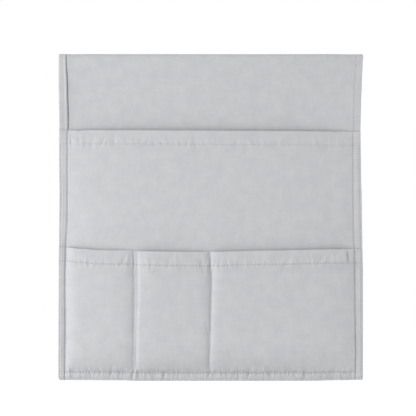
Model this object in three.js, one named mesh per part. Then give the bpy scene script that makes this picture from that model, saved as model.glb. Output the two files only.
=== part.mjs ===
// Armrest organizer: one hemmed strip of plain-woven canvas that lies over a sofa's arm,
// with a wide pocket and a row of three smaller ones sewn on the end that hangs outside.
// Millimetres, +Z up. X runs across the strip and -Y faces the viewer. The origin is the
// middle of the underside of the stretch that lies on top of the arm.

import * as THREE from 'three';

// The strip and the arm that it fits
const stripWidth = 330;
const frontDrop = 354;
const tailDrop = 270;
const armWidth = 180;
const armEdgeRadius = 4;

// Cloth, as it lies after pressing: one layer, and a hem's two turned layers
const canvasThickness = 0.6;
const hemThickness = 0.9;
const mouthTurnThickness = 0.6;
const layerGap = 0.3;

// Seam rows, each given from the edge that it follows
const leftSeamInset = 8;
const rightSeamInset = 9.3;
const bottomSeamInset = 8.7;
const edgeRowInset = 2;
const mouthRowInset = 15;
const rowToHemEdge = 1.5;
const hemStep = 3;
const seamLand = 0.8;

// Pockets: how far below the top of the fold their mouths are, and their widths
const upperMouthDepth = 82.2;
const upperMouthFall = 1.6;
const lowerMouthDepth = 213.7;
const lowerMouthLeftRise = 4.9;
const lowerMouthRightRise = 2.7;
const firstPocketWidth = 75;
const secondPocketWidth = 82;

// How full the pockets hang: their depth front to back, how square their section is,
// and the height over which they close towards the bottom seam and below a mouth's hem
const upperFullness = 6.6;
const upperSquareness = 3.5;
const narrowFullness = 7.2;
const wideFullness = 7.2;
const lowerSquareness = 4;
const bottomCurve = 32;
const hemEase = 8;

// Where the seams draw the cloth in, and how far the middle of the bottom edge sags
const leftDrawIn = 0.7;
const rightDrawIn = 2.4;
const bottomSag = 1;

// Sewing thread, as it lies on the cloth
const threadWidth = 0.5;
const threadThickness = 0.3;
const threadGap = 0.1;
const threadEndGap = 0.6;
const threadClimb = 0.9;

// The two folds: each is cut across its middle, where the hanging end turns on the saddle
const foldCut = 0.3;

const canvasColor = '#c6c8ca';
const threadColor = '#c2c4c6';

// Distances out from the arm: the hems lie against it, and so does the strip between them.
// Over its hems the strip is lifted.
const hemLift = hemThickness + layerGap;
const bandOuter = hemLift + canvasThickness;

// Distances along the strip, counted from the middle of the saddle and positive to the front
const midRadius = armEdgeRadius + (hemLift + bandOuter) / 2;
const outerRadius = armEdgeRadius + bandOuter;
const saddleFlatHalf = armWidth / 2 - armEdgeRadius;
const bendLength = midRadius * Math.PI / 2;
const foldMiddle = saddleFlatHalf + bendLength / 2;
const dropStart = saddleFlatHalf + bendLength;
const bottomEdge = dropStart + frontDrop - outerRadius;
const tailEnd = -(dropStart + tailDrop - outerRadius);
const upperMouthLine = dropStart + upperMouthDepth - outerRadius;
const lowerMouthLine = dropStart + lowerMouthDepth - outerRadius;
const bottomLand = bottomEdge - bottomSeamInset - seamLand;
const endHemDepth = bottomSeamInset + rowToHemEdge;
const bottomHemEdge = bottomEdge - endHemDepth;
const tailHemEdge = tailEnd + endHemDepth;

// Distances across the strip
const halfWidth = stripWidth / 2;
const leftSeam = -halfWidth + leftSeamInset;
const rightSeam = halfWidth - rightSeamInset;
const leftHemEdge = leftSeam + rowToHemEdge;
const rightHemEdge = rightSeam - rowToHemEdge;
const firstDivider = leftSeam + firstPocketWidth;
const secondDivider = firstDivider + secondPocketWidth;
const widePocket = { from: leftSeam + seamLand, to: rightSeam - seamLand };
const lowerPockets = [
  { from: leftSeam + seamLand, to: firstDivider - seamLand, fullness: narrowFullness },
  { from: firstDivider + seamLand, to: secondDivider - seamLand, fullness: narrowFullness },
  { from: secondDivider + seamLand, to: rightSeam - seamLand, fullness: wideFullness },
];

const mix = THREE.MathUtils.lerp;
const clamp = THREE.MathUtils.clamp;

// A point of the bare strip: flat over the arm, round its two edges and straight down
function onStrip(x, along, out) {
  const beyond = Math.abs(along) - saddleFlatHalf;
  if (beyond <= 0) return new THREE.Vector3(x, -along, out);
  const side = along > 0 ? -1 : 1;
  const turn = Math.min(beyond / midRadius, Math.PI / 2);
  const drop = beyond - turn * midRadius;
  const radius = armEdgeRadius + out;
  return new THREE.Vector3(
    x,
    side * (saddleFlatHalf + radius * Math.sin(turn)),
    radius * Math.cos(turn) - armEdgeRadius - drop,
  );
}

// A point of the front drop, drawn in beside the upper mouth and sagging at the bottom
function onFront(x, along, out) {
  const above = along < upperMouthLine;
  const reach = above ? upperMouthLine - foldMiddle : lowerMouthLine - upperMouthLine;
  const away = clamp(Math.abs(along - upperMouthLine) / reach, 0, 1);
  const drawIn = (x < 0 ? leftDrawIn : rightDrawIn) * (1 + Math.cos(Math.PI * away)) / 2;
  const across = x / halfWidth;
  const low = clamp((along - lowerMouthLine) / (bottomEdge - lowerMouthLine), 0, 1);
  const point = onStrip(x - across * drawIn, along, out);
  point.z += bottomSag * low * across ** 4;
  return point;
}

// The strip's inner face: it steps up over its side and end hems, a gap before their edges
function stripInner(x, along) {
  const pastSide = Math.max(leftHemEdge - x, x - rightHemEdge);
  const pastEnd = Math.max(along - bottomHemEdge, tailHemEdge - along);
  const share = (Math.max(pastSide, pastEnd) + layerGap + hemStep) / hemStep;
  return hemLift * clamp(share, 0, 1);
}

function stripOuter(x, along) {
  return stripInner(x, along) + canvasThickness;
}

// The mouths: the upper one falls a little to the right, the lower one rises to both ends
function upperMouth(x) {
  return upperMouthLine + upperMouthFall * (x - leftSeam) / (rightSeam - leftSeam);
}

function lowerMouth(x) {
  const onLeft = x < secondDivider;
  const end = onLeft ? leftSeam : rightSeam;
  const rise = onLeft ? lowerMouthLeftRise : lowerMouthRightRise;
  return lowerMouthLine - rise * ((x - secondDivider) / (end - secondDivider)) ** 2;
}

// How far a pocket stands open at a place: a bow between its seams that closes downwards
function fullnessAt(x, along, pocket, squareness) {
  const middle = (pocket.from + pocket.to) / 2;
  const share = clamp(Math.abs(x - middle) / (pocket.to - middle), 0, 1);
  const height = clamp((bottomLand - along) / bottomCurve, 0, 1);
  return (1 - share ** squareness) * (1 - (1 - height) ** 2);
}

// Room for the turned hem behind a mouth, easing off below it
function hemRoom(along, mouth) {
  const past = along - mouth - mouthRowInset - rowToHemEdge;
  return (mouthTurnThickness + layerGap) * clamp(1 - past / hemEase, 0, 1);
}

function upperInner(x, along) {
  const bow = upperFullness * fullnessAt(x, along, widePocket, upperSquareness);
  return bandOuter + layerGap + hemRoom(along, upperMouth(x)) + bow;
}

function upperOuter(x, along) {
  return upperInner(x, along) + canvasThickness;
}

function lowerInner(x, along) {
  const pocket = lowerPockets.find(({ from, to }) => x >= from && x <= to);
  const bow = pocket ? pocket.fullness * fullnessAt(x, along, pocket, lowerSquareness) : 0;
  return upperOuter(x, along) + layerGap + hemRoom(along, lowerMouth(x)) + bow;
}

function lowerOuter(x, along) {
  return lowerInner(x, along) + canvasThickness;
}

// A layer of cloth is a grid of columns across and rows along, closed all round. Both skins
// have the same diagonals, so layers that share columns and rows never cut each other.
function layerGeometry(columns, rows, place) {
  const positions = [];
  for (const side of [0, 1]) {
    for (const row of rows) {
      for (const x of columns) positions.push(...place(x, row(x), side));
    }
  }
  const corner = (side, row, column) => (side * rows.length + row) * columns.length + column;
  const triangles = [];
  const quad = (a, b, c, d) => triangles.push(a, b, c, a, c, d);
  const lastRow = rows.length - 1;
  const lastColumn = columns.length - 1;
  for (let row = 0; row < lastRow; row += 1) {
    for (let column = 0; column < lastColumn; column += 1) {
      for (const side of [0, 1]) {
        const a = corner(side, row, column);
        const b = corner(side, row + 1, column);
        const c = corner(side, row + 1, column + 1);
        const d = corner(side, row, column + 1);
        if (side === 1) quad(a, b, c, d);
        else quad(a, d, c, b);
      }
    }
  }
  for (let row = 0; row < lastRow; row += 1) {
    for (const [column, from, to] of [[0, 0, 1], [lastColumn, 1, 0]]) {
      const top = corner(from, row, column);
      const bottom = corner(from, row + 1, column);
      quad(top, bottom, corner(to, row + 1, column), corner(to, row, column));
    }
  }
  for (let column = 0; column < lastColumn; column += 1) {
    for (const [row, from, to] of [[0, 0, 1], [lastRow, 1, 0]]) {
      const near = corner(from, row, column);
      const far = corner(from, row, column + 1);
      quad(near, corner(to, row, column), corner(to, row, column + 1), far);
    }
  }
  const geometry = new THREE.BufferGeometry();
  geometry.setAttribute('position', new THREE.Float32BufferAttribute(positions, 3));
  geometry.setIndex(triangles);
  geometry.computeVertexNormals();
  return geometry;
}

// Each hanging end is a group at its fold's hinge line, so turning the group folds it. The
// line lies just outside the bend, where the cloth is as long laid flat as it is hanging.
const hingeReach = midRadius * Math.PI / 4;
const hingeDepth = saddleFlatHalf + hingeReach;
const hingeHeight = hingeReach - armEdgeRadius;

const organizer = new THREE.Group();
const saddle = new THREE.Group();
const frontEnd = new THREE.Group();
const tail = new THREE.Group();
frontEnd.position.set(0, -hingeDepth, hingeHeight);
tail.position.set(0, hingeDepth, hingeHeight);
organizer.add(saddle, frontEnd, tail);

function addMesh(group, name, color, geometry) {
  geometry.translate(-group.position.x, -group.position.y, -group.position.z);
  const material = new THREE.MeshStandardMaterial({ color, roughness: 0.95, metalness: 0 });
  const mesh = new THREE.Mesh(geometry, material);
  mesh.name = name;
  group.add(mesh);
}

function addCloth(group, name, columns, rows, on, inner, outer) {
  const place = (x, along, side) => on(x, along, (side ? outer : inner)(x, along));
  addMesh(group, name, canvasColor, layerGeometry(columns, rows, place));
}

const constant = (value) => () => value;
const level = (along) => constant(along);
const shareBetween = (from, to, shares) => shares.map((share) => mix(from, to, share));

// Columns that every layer of the pockets shares
const pocketShares = [0, 0.05, 0.15, 0.3, 0.5, 0.7, 0.85, 0.95, 1];
const clothColumns = [
  -halfWidth,
  ...lowerPockets.flatMap(({ from, to }) => shareBetween(from, to, pocketShares)),
  halfWidth,
];

// Rows below a mouth that follow its line: the mouth, its stitch row, its hem's edge and
// the end of the ease below the hem
const mouthRows = (mouth) => [
  mouth,
  (x) => mouth(x) + mouthRowInset,
  (x) => mouth(x) + mouthRowInset + rowToHemEdge,
  (x) => mouth(x) + mouthRowInset + rowToHemEdge + hemEase,
];

const upperEaseEnd = mouthRows(upperMouth)[3];
const lowerEaseEnd = mouthRows(lowerMouth)[3];
const bottomCurveTop = bottomLand - bottomCurve;
const lowerRows = [
  ...mouthRows(lowerMouth),
  (x) => mix(lowerEaseEnd(x), bottomCurveTop, 0.5),
  ...shareBetween(bottomCurveTop, bottomLand, [0, 0.3, 0.6, 0.85, 1]).map(level),
  level(bottomEdge),
];
const upperRows = [
  ...mouthRows(upperMouth),
  ...[0.25, 0.5, 0.75].map((share) => (x) => mix(upperEaseEnd(x), lowerMouth(x), share)),
  ...lowerRows,
];

// Rows of the bare strip, finer round the bends
const cut = foldCut / 2;
const onBend = (shares) => shareBetween(saddleFlatHalf, dropStart, shares);
const outerBend = onBend([0.625, 0.75, 0.875, 1]);
const innerBend = onBend([0, 0.125, 0.25, 0.375]);
const mirrored = (rows) => rows.map((row) => -row).reverse();
const drawInRows = shareBetween(dropStart, upperMouthLine, [0.15, 0.3, 0.5, 0.7, 0.85, 1]);
const releaseRows = shareBetween(upperMouthLine, lowerMouthLine, [0.15, 0.3, 0.5, 0.7, 0.85, 1]);
const frontStart = foldMiddle + cut;
const saddleEnd = foldMiddle - cut;
const stepBy = (edge, inwards) => [edge + inwards * layerGap, edge + inwards * (layerGap + hemStep)];
const bottomStep = stepBy(bottomHemEdge, -1).reverse();
const tailStep = stepBy(tailHemEdge, 1);
const frontStops = [...outerBend, ...drawInRows, ...releaseRows, ...bottomStep];
const frontRows = [frontStart, ...frontStops, bottomEdge].map(level);
const saddleRows = [-saddleEnd, ...mirrored(innerBend), ...innerBend, saddleEnd].map(level);
const tailRows = [tailEnd, ...tailStep, ...mirrored(outerBend), -frontStart].map(level);

// The strip itself, in its three stretches
const leftEdge = [-halfWidth, ...stepBy(leftHemEdge, 1)];
const rightEdge = [...stepBy(rightHemEdge, -1).reverse(), halfWidth];
const stripColumns = [...leftEdge, ...rightEdge];
const sagColumns = shareBetween(-halfWidth, halfWidth, [0.1, 0.2, 0.5, 0.8, 0.9]);
const frontColumns = [...leftEdge, ...sagColumns, ...rightEdge];
addCloth(frontEnd, 'front_panel', frontColumns, frontRows, onFront, stripInner, stripOuter);
addCloth(saddle, 'saddle_panel', stripColumns, saddleRows, onStrip, stripInner, stripOuter);
addCloth(tail, 'tail_panel', stripColumns, tailRows, onStrip, stripInner, stripOuter);

// Side hems, turned to the arm's side
const hemSkins = [constant(0), constant(hemThickness)];
const leftHem = [-halfWidth, leftHemEdge];
const rightHem = [rightHemEdge, halfWidth];
for (const [side, columns] of [['left', leftHem], ['right', rightHem]]) {
  addCloth(frontEnd, `front_${side}_hem`, columns, frontRows, onFront, ...hemSkins);
  addCloth(saddle, `saddle_${side}_hem`, columns, saddleRows, onStrip, ...hemSkins);
  addCloth(tail, `tail_${side}_hem`, columns, tailRows, onStrip, ...hemSkins);
}

// End hems, between the side hems
const endHemFrom = leftHemEdge + layerGap;
const endHemTo = rightHemEdge - layerGap;
const bottomHemColumns = [endHemFrom, ...sagColumns, endHemTo];
const bottomHemRows = [level(bottomHemEdge), level(bottomEdge)];
addCloth(frontEnd, 'front_bottom_hem', bottomHemColumns, bottomHemRows, onFront, ...hemSkins);
const tailHemRows = [level(tailEnd), level(tailHemEdge)];
addCloth(tail, 'tail_end_hem', [endHemFrom, endHemTo], tailHemRows, onStrip, ...hemSkins);

// The two pocket cloths, and the turned layer behind each mouth
addCloth(frontEnd, 'upper_pocket', clothColumns, upperRows, onFront, upperInner, upperOuter);
addCloth(frontEnd, 'lower_pocket', clothColumns, lowerRows, onFront, lowerInner, lowerOuter);

function addMouthHem(name, mouth, pocketInner) {
  const outer = (x, along) => pocketInner(x, along) - layerGap;
  const inner = (x, along) => outer(x, along) - mouthTurnThickness;
  addCloth(frontEnd, name, clothColumns, mouthRows(mouth).slice(0, 3), onFront, inner, outer);
}

addMouthHem('upper_mouth_hem', upperMouth, upperInner);
addMouthHem('lower_mouth_hem', lowerMouth, lowerInner);

// Thread: a flat strand on the outermost cloth
function addThread(group, name, geometry) {
  addMesh(group, name, threadColor, geometry);
}

// A row of thread across the strip, on one layer's outer face
function addRowAcross(group, name, columns, row, on, outer) {
  const base = (x) => outer(x, row(x)) + threadGap;
  const place = (x, along, side) => on(x, along, base(x) + side * threadThickness);
  const rows = [-0.5, 0.5].map((share) => (x) => row(x) + share * threadWidth);
  addThread(group, name, layerGeometry(columns, rows, place));
}

// A row of thread down the strip, over each cloth that it meets and over threads that cross it
function addRowAlong(group, name, x, stops, on, outer, crossings = []) {
  const hops = crossings.flatMap((at) => [-2, -1, 1, 2].map((step) => at + step * threadClimb));
  const all = [...stops, ...hops].sort((a, b) => a - b);
  const lift = (along) => {
    const near = crossings.some((at) => Math.abs(along - at) < threadClimb * 1.5);
    return near ? threadThickness + threadGap : 0;
  };
  const columns = [x - threadWidth / 2, x + threadWidth / 2];
  const place = (across, along, side) => {
    const out = outer(x, along) + threadGap + lift(along) + side * threadThickness;
    return on(across, along, out);
  };
  addThread(group, name, layerGeometry(columns, all.map(level), place));
}

// The outermost layer at a place on the front. Thread climbs just above each mouth's edge.
function outermost(x, along) {
  if (along > lowerMouth(x) - threadClimb) return lowerOuter(x, Math.max(along, lowerMouth(x)));
  if (along > upperMouth(x) - threadClimb) return upperOuter(x, Math.max(along, upperMouth(x)));
  return stripOuter(x, along);
}

function climbStops(x, mouth) {
  return [mouth(x) - 2 * threadClimb, mouth(x) - threadClimb / 2];
}

const within = (stops, from, to) => [from, ...stops.filter((stop) => stop > from && stop < to), to];
const rowsAt = (x, rows) => rows.map((row) => row(x));
const threadInset = edgeRowInset + threadWidth + threadEndGap;
const upperThreadRow = mouthRows(upperMouth)[1];
const lowerThreadRow = mouthRows(lowerMouth)[1];
const crossColumns = [-halfWidth + threadInset, ...clothColumns.slice(1, -1), halfWidth - threadInset];
addRowAcross(frontEnd, 'upper_mouth_thread', crossColumns, upperThreadRow, onFront, upperOuter);
addRowAcross(frontEnd, 'lower_mouth_thread', crossColumns, lowerThreadRow, onFront, lowerOuter);

const frontThreadEnd = bottomEdge - threadInset;
for (const [side, x] of [['left', leftSeam], ['right', rightSeam]]) {
  const stops = [
    ...outerBend,
    ...drawInRows,
    ...climbStops(x, upperMouth),
    ...rowsAt(x, upperRows),
    ...climbStops(x, lowerMouth),
  ];
  const frontAll = within(stops, frontStart + threadEndGap, frontThreadEnd);
  const crossings = [upperThreadRow(x), lowerThreadRow(x)];
  addRowAlong(frontEnd, `front_${side}_thread`, x, frontAll, onFront, outermost, crossings);
  const threadSaddleEnd = saddleEnd - threadEndGap;
  const saddleAll = within(rowsAt(x, saddleRows), -threadSaddleEnd, threadSaddleEnd);
  addRowAlong(saddle, `saddle_${side}_thread`, x, saddleAll, onStrip, stripOuter);
  const tailAll = within(rowsAt(x, tailRows), tailEnd + edgeRowInset, -frontStart - threadEndGap);
  addRowAlong(tail, `tail_${side}_thread`, x, tailAll, onStrip, stripOuter);
}

const edgeRows = [
  ['left', -halfWidth + edgeRowInset],
  ['right', halfWidth - edgeRowInset],
];
for (const [side, x] of edgeRows) {
  const stops = [...rowsAt(x, upperRows), ...climbStops(x, lowerMouth)];
  const start = upperThreadRow(x) + threadEndGap + threadWidth;
  const all = within(stops, start, bottomEdge - edgeRowInset);
  addRowAlong(frontEnd, `pocket_${side}_edge_thread`, x, all, onFront, outermost);
}

const dividers = [['first', firstDivider], ['second', secondDivider]];
for (const [order, x] of dividers) {
  const end = bottomEdge - bottomSeamInset - threadWidth - threadEndGap;
  const stops = within(rowsAt(x, lowerRows), lowerMouth(x) + threadEndGap, end);
  const crossings = [lowerThreadRow(x)];
  addRowAlong(frontEnd, `${order}_divider_thread`, x, stops, onFront, outermost, crossings);
}

const seamThreadGap = threadWidth + threadEndGap;
const bottomColumns = [leftSeam + seamThreadGap, ...clothColumns.slice(2, -2), rightSeam - seamThreadGap];
const bottomRow = level(bottomEdge - bottomSeamInset);
addRowAcross(frontEnd, 'bottom_seam_thread', bottomColumns, bottomRow, onFront, lowerOuter);
const bottomEdgeRow = level(bottomEdge - edgeRowInset);
addRowAcross(frontEnd, 'bottom_edge_thread', crossColumns, bottomEdgeRow, onFront, lowerOuter);
const tailColumns = [leftSeam + seamThreadGap, rightSeam - seamThreadGap];
const tailRow = level(tailEnd + bottomSeamInset);
addRowAcross(tail, 'tail_end_thread', tailColumns, tailRow, onStrip, stripOuter);

export default organizer;
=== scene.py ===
"""Armrest organizer: a hemmed canvas strip that lies over a sofa's arm, with pockets sewn on
the end that hangs outside. Every cloth is one closed mesh that follows the sewing pattern."""

import math
from functools import partial
from types import SimpleNamespace

import bpy
import numpy as np
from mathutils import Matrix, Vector


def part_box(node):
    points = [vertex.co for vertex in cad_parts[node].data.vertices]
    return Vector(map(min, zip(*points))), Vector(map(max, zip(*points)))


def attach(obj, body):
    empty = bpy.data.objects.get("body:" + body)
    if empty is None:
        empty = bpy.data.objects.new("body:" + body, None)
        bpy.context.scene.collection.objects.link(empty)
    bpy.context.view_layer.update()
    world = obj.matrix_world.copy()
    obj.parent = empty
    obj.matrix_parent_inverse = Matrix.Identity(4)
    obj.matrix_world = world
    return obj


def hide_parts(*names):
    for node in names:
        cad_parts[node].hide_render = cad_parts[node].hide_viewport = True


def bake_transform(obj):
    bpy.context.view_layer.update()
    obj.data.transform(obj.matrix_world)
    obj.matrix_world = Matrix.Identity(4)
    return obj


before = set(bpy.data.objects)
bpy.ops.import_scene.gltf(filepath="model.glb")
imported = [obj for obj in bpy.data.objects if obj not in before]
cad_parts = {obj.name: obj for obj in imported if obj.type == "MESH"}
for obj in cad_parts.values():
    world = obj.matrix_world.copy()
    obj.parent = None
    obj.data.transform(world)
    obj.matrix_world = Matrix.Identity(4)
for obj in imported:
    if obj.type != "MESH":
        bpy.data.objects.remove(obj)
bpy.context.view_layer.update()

bl_info = {
    "name": "Armrest Organizer",
    "version": (1, 0, 0),
    "blender": (4, 5, 0),
    "location": "View3D > Sidebar > Organizer",
    "description": "Builds a canvas armrest organizer over its packed solids",
    "category": "Object",
}

# How far a turned layer reaches past its row, in millimetres like all sizes of the pattern
HEM_PAST_ROW = 1.5
# Outer radius of the strip's turned edges
ROLL = 0.9
# From the cloth's face to the middle of a stitch
STITCH_LIFT = 0.06
# Left between two layers where a row presses them together
LEAST_ROOM = 0.05
# From the strip's edges to the pocket cloths' edges
POCKET_INSET = 0.3
# Cloth that lies flat beside a seam before a pocket stands out
LAND = 0.8
# From the end of a row across to the middle of its first stitch, at least
ROW_INSET = 1.1
# Turn of the cloth at each row of points around a turned edge
TURN_STEPS = np.radians([36, 72, 108, 144, 180])

# Single folds where the sewing caught the cloth: from and to (u, depth), width, height
UPPER_CREASES = (
    ((-153, 92), (-153, 98), 0.9, -0.6),
    ((-148, 84), (-140, 90), 2.2, 0.3),
)
LOWER_CREASES = (
    ((-151, 220), (-151, 228), 0.8, -0.5),
    ((-141.5, 219), (-139, 225), 1.0, -0.35),
    ((-131, 226), (-129, 230), 0.9, -0.35),
    ((146.6, 212), (147.6, 226), 1.0, -1.8),
    ((143.5, 212), (144.5, 228), 2.6, 1.1),
    ((-83.6, 221), (-83.4, 229), 0.7, 0.6),
    ((-5.5, 218), (-4.6, 240), 1.6, 0.5),
    ((-5.5, 288), (0.5, 318), 1.4, -0.5),
    ((-154.8, 340), (-154.8, 348), 0.9, -0.7),
    ((-146, 340), (-143.5, 349), 0.9, -0.5),
    ((-142.5, 343), (-141.5, 348), 0.8, 0.4),
    ((-137.5, 340), (-135, 348), 1.0, -0.35),
    ((153, 333), (148.5, 340), 1.4, -0.45),
    ((149, 343), (150.5, 347), 1.0, -0.4),
)


def linear(hex_colour):
    """An sRGB hex value as the linear colour that Blender's sockets take."""
    parts = [int(hex_colour[i:i + 2], 16) / 255 for i in (1, 3, 5)]
    return tuple(p / 12.92 if p <= 0.04045 else ((p + 0.055) / 1.055) ** 2.4 for p in parts)


def length(name, description, default):
    return bpy.props.FloatProperty(
        name=name, description=description, default=default, min=0.0, unit="LENGTH", precision=5
    )


def colour(name, description, hex_colour):
    return bpy.props.FloatVectorProperty(
        name=name, description=description, default=linear(hex_colour), subtype="COLOR",
        min=0.0, max=1.0,
    )


def width_of(node):
    low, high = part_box(node)
    return high.x - low.x


class OrganizerSizes(bpy.types.PropertyGroup):
    """Sizes of the cloth and of its seams. Those of the cut and of the rows are the solids' own."""

    strip_width: length("Strip width", "Across the strip", width_of("saddle_panel"))
    front_drop: length("Front drop", "From the fold's top to the bottom edge", 0.354)
    tail_drop: length("Tail drop", "From the fold's top to the tail's end", 0.270)
    arm_width: length("Arm width", "Of the arm that the strip lies over", 0.180)
    arm_edge_radius: length("Arm edge radius", "Of the arm's two upper edges", 0.004)
    canvas_thickness: length("Canvas thickness", "Of one layer of cloth", 0.0006)
    hem_thickness: length("Hem thickness", "Of a hem's two turned layers", 0.0009)
    layer_gap: length("Layer gap", "Between two layers that lie together", 0.0003)
    left_seam: length("Left seam", "From the left edge to its seam row", 0.008)
    right_seam: length("Right seam", "From the right edge to its seam row", 0.0093)
    bottom_seam: length("Bottom seam", "From the bottom edge to its seam row", 0.0087)
    edge_row: length("Edge row", "From an edge to the row that closes it", 0.002)
    mouth_row: length("Mouth row", "From a pocket's mouth to its row", 0.015)
    upper_mouth: length("Upper mouth", "Below the fold's top, at the left seam", 0.0822)
    upper_mouth_fall: length("Upper mouth fall", "From the left seam to the right one", 0.0016)
    lower_mouth: length("Lower mouth", "Below the fold's top, where it is lowest", 0.2137)
    first_pocket: length("First pocket", "Width of the left pocket", 0.075)
    second_pocket: length("Second pocket", "Width of the middle pocket", 0.082)
    upper_fullness: length("Upper fullness", "How far the wide pocket stands open", 0.0066)
    lower_fullness: length("Lower fullness", "How far the small pockets stand open", 0.0072)
    backed_fullness: length("Backed fullness", "What the wide pocket gains further down", 0.0048)
    bottom_curve: length("Bottom curve", "Height over which the pockets close", 0.032)
    bottom_sag: length("Bottom sag", "How far the bottom edge's middle hangs", 0.001)
    stitch_length: length("Stitch length", "From one needle hole to the next", 0.00303)
    thread_width: length("Thread width", "Of the sewing thread", 0.00045)
    yarn_pitch: length("Yarn pitch", "From one yarn of the canvas to the next", 0.0007)


class OrganizerFinish(bpy.types.PropertyGroup):
    """Colours of the cloth, the thread and the floor."""

    canvas: colour("Canvas", "Dyed canvas, at its lightest", "#cccdcf")
    canvas_shade: colour("Canvas shade", "Dyed canvas, where it took less light", "#c5c6c9")
    thread: colour("Thread", "Sewing thread", "#c6c8ca")
    floor: colour("Floor", "Painted studio floor", "#e0e0e0")


def ease(share):
    """From 0 to 1 with no kink at either end."""
    share = np.clip(share, 0, 1)
    return share * share * (3 - 2 * share)


def drift(at, stops, values):
    """Eases from one value to the next, as a hand-guided seam wanders."""
    stops, values = np.asarray(stops, float), np.asarray(values, float)
    at = np.clip(at, stops[0], stops[-1])
    step = np.clip(np.searchsorted(stops, at, side="right") - 1, 0, len(stops) - 2)
    share = (at - stops[step]) / (stops[step + 1] - stops[step])
    return values[step] + (values[step + 1] - values[step]) * ease(share)


def bump(distance, width):
    return np.exp(-((distance / width) ** 2))


def waves(at, periods, heights, seed):
    """Uneven ripples along a seam: a few sines whose phases come from the seed."""
    phases = np.random.RandomState(seed).uniform(0, 2 * math.pi, len(periods))
    return sum(height * np.sin(2 * math.pi * at / period + phase)
               for period, height, phase in zip(periods, heights, phases))


def swell(u, v, height, seed):
    """The slow rise and fall of cloth that was folded away and isn't ironed."""
    random = np.random.RandomState(seed)
    total = 0
    for period in (46, 61, 83, 110, 150):
        turn, phase = random.uniform(0, math.pi), random.uniform(0, 2 * math.pi)
        across = u * math.cos(turn) + v * math.sin(turn)
        total = total + height * period / 90 * np.sin(2 * math.pi * across / period + phase)
    return total


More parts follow.
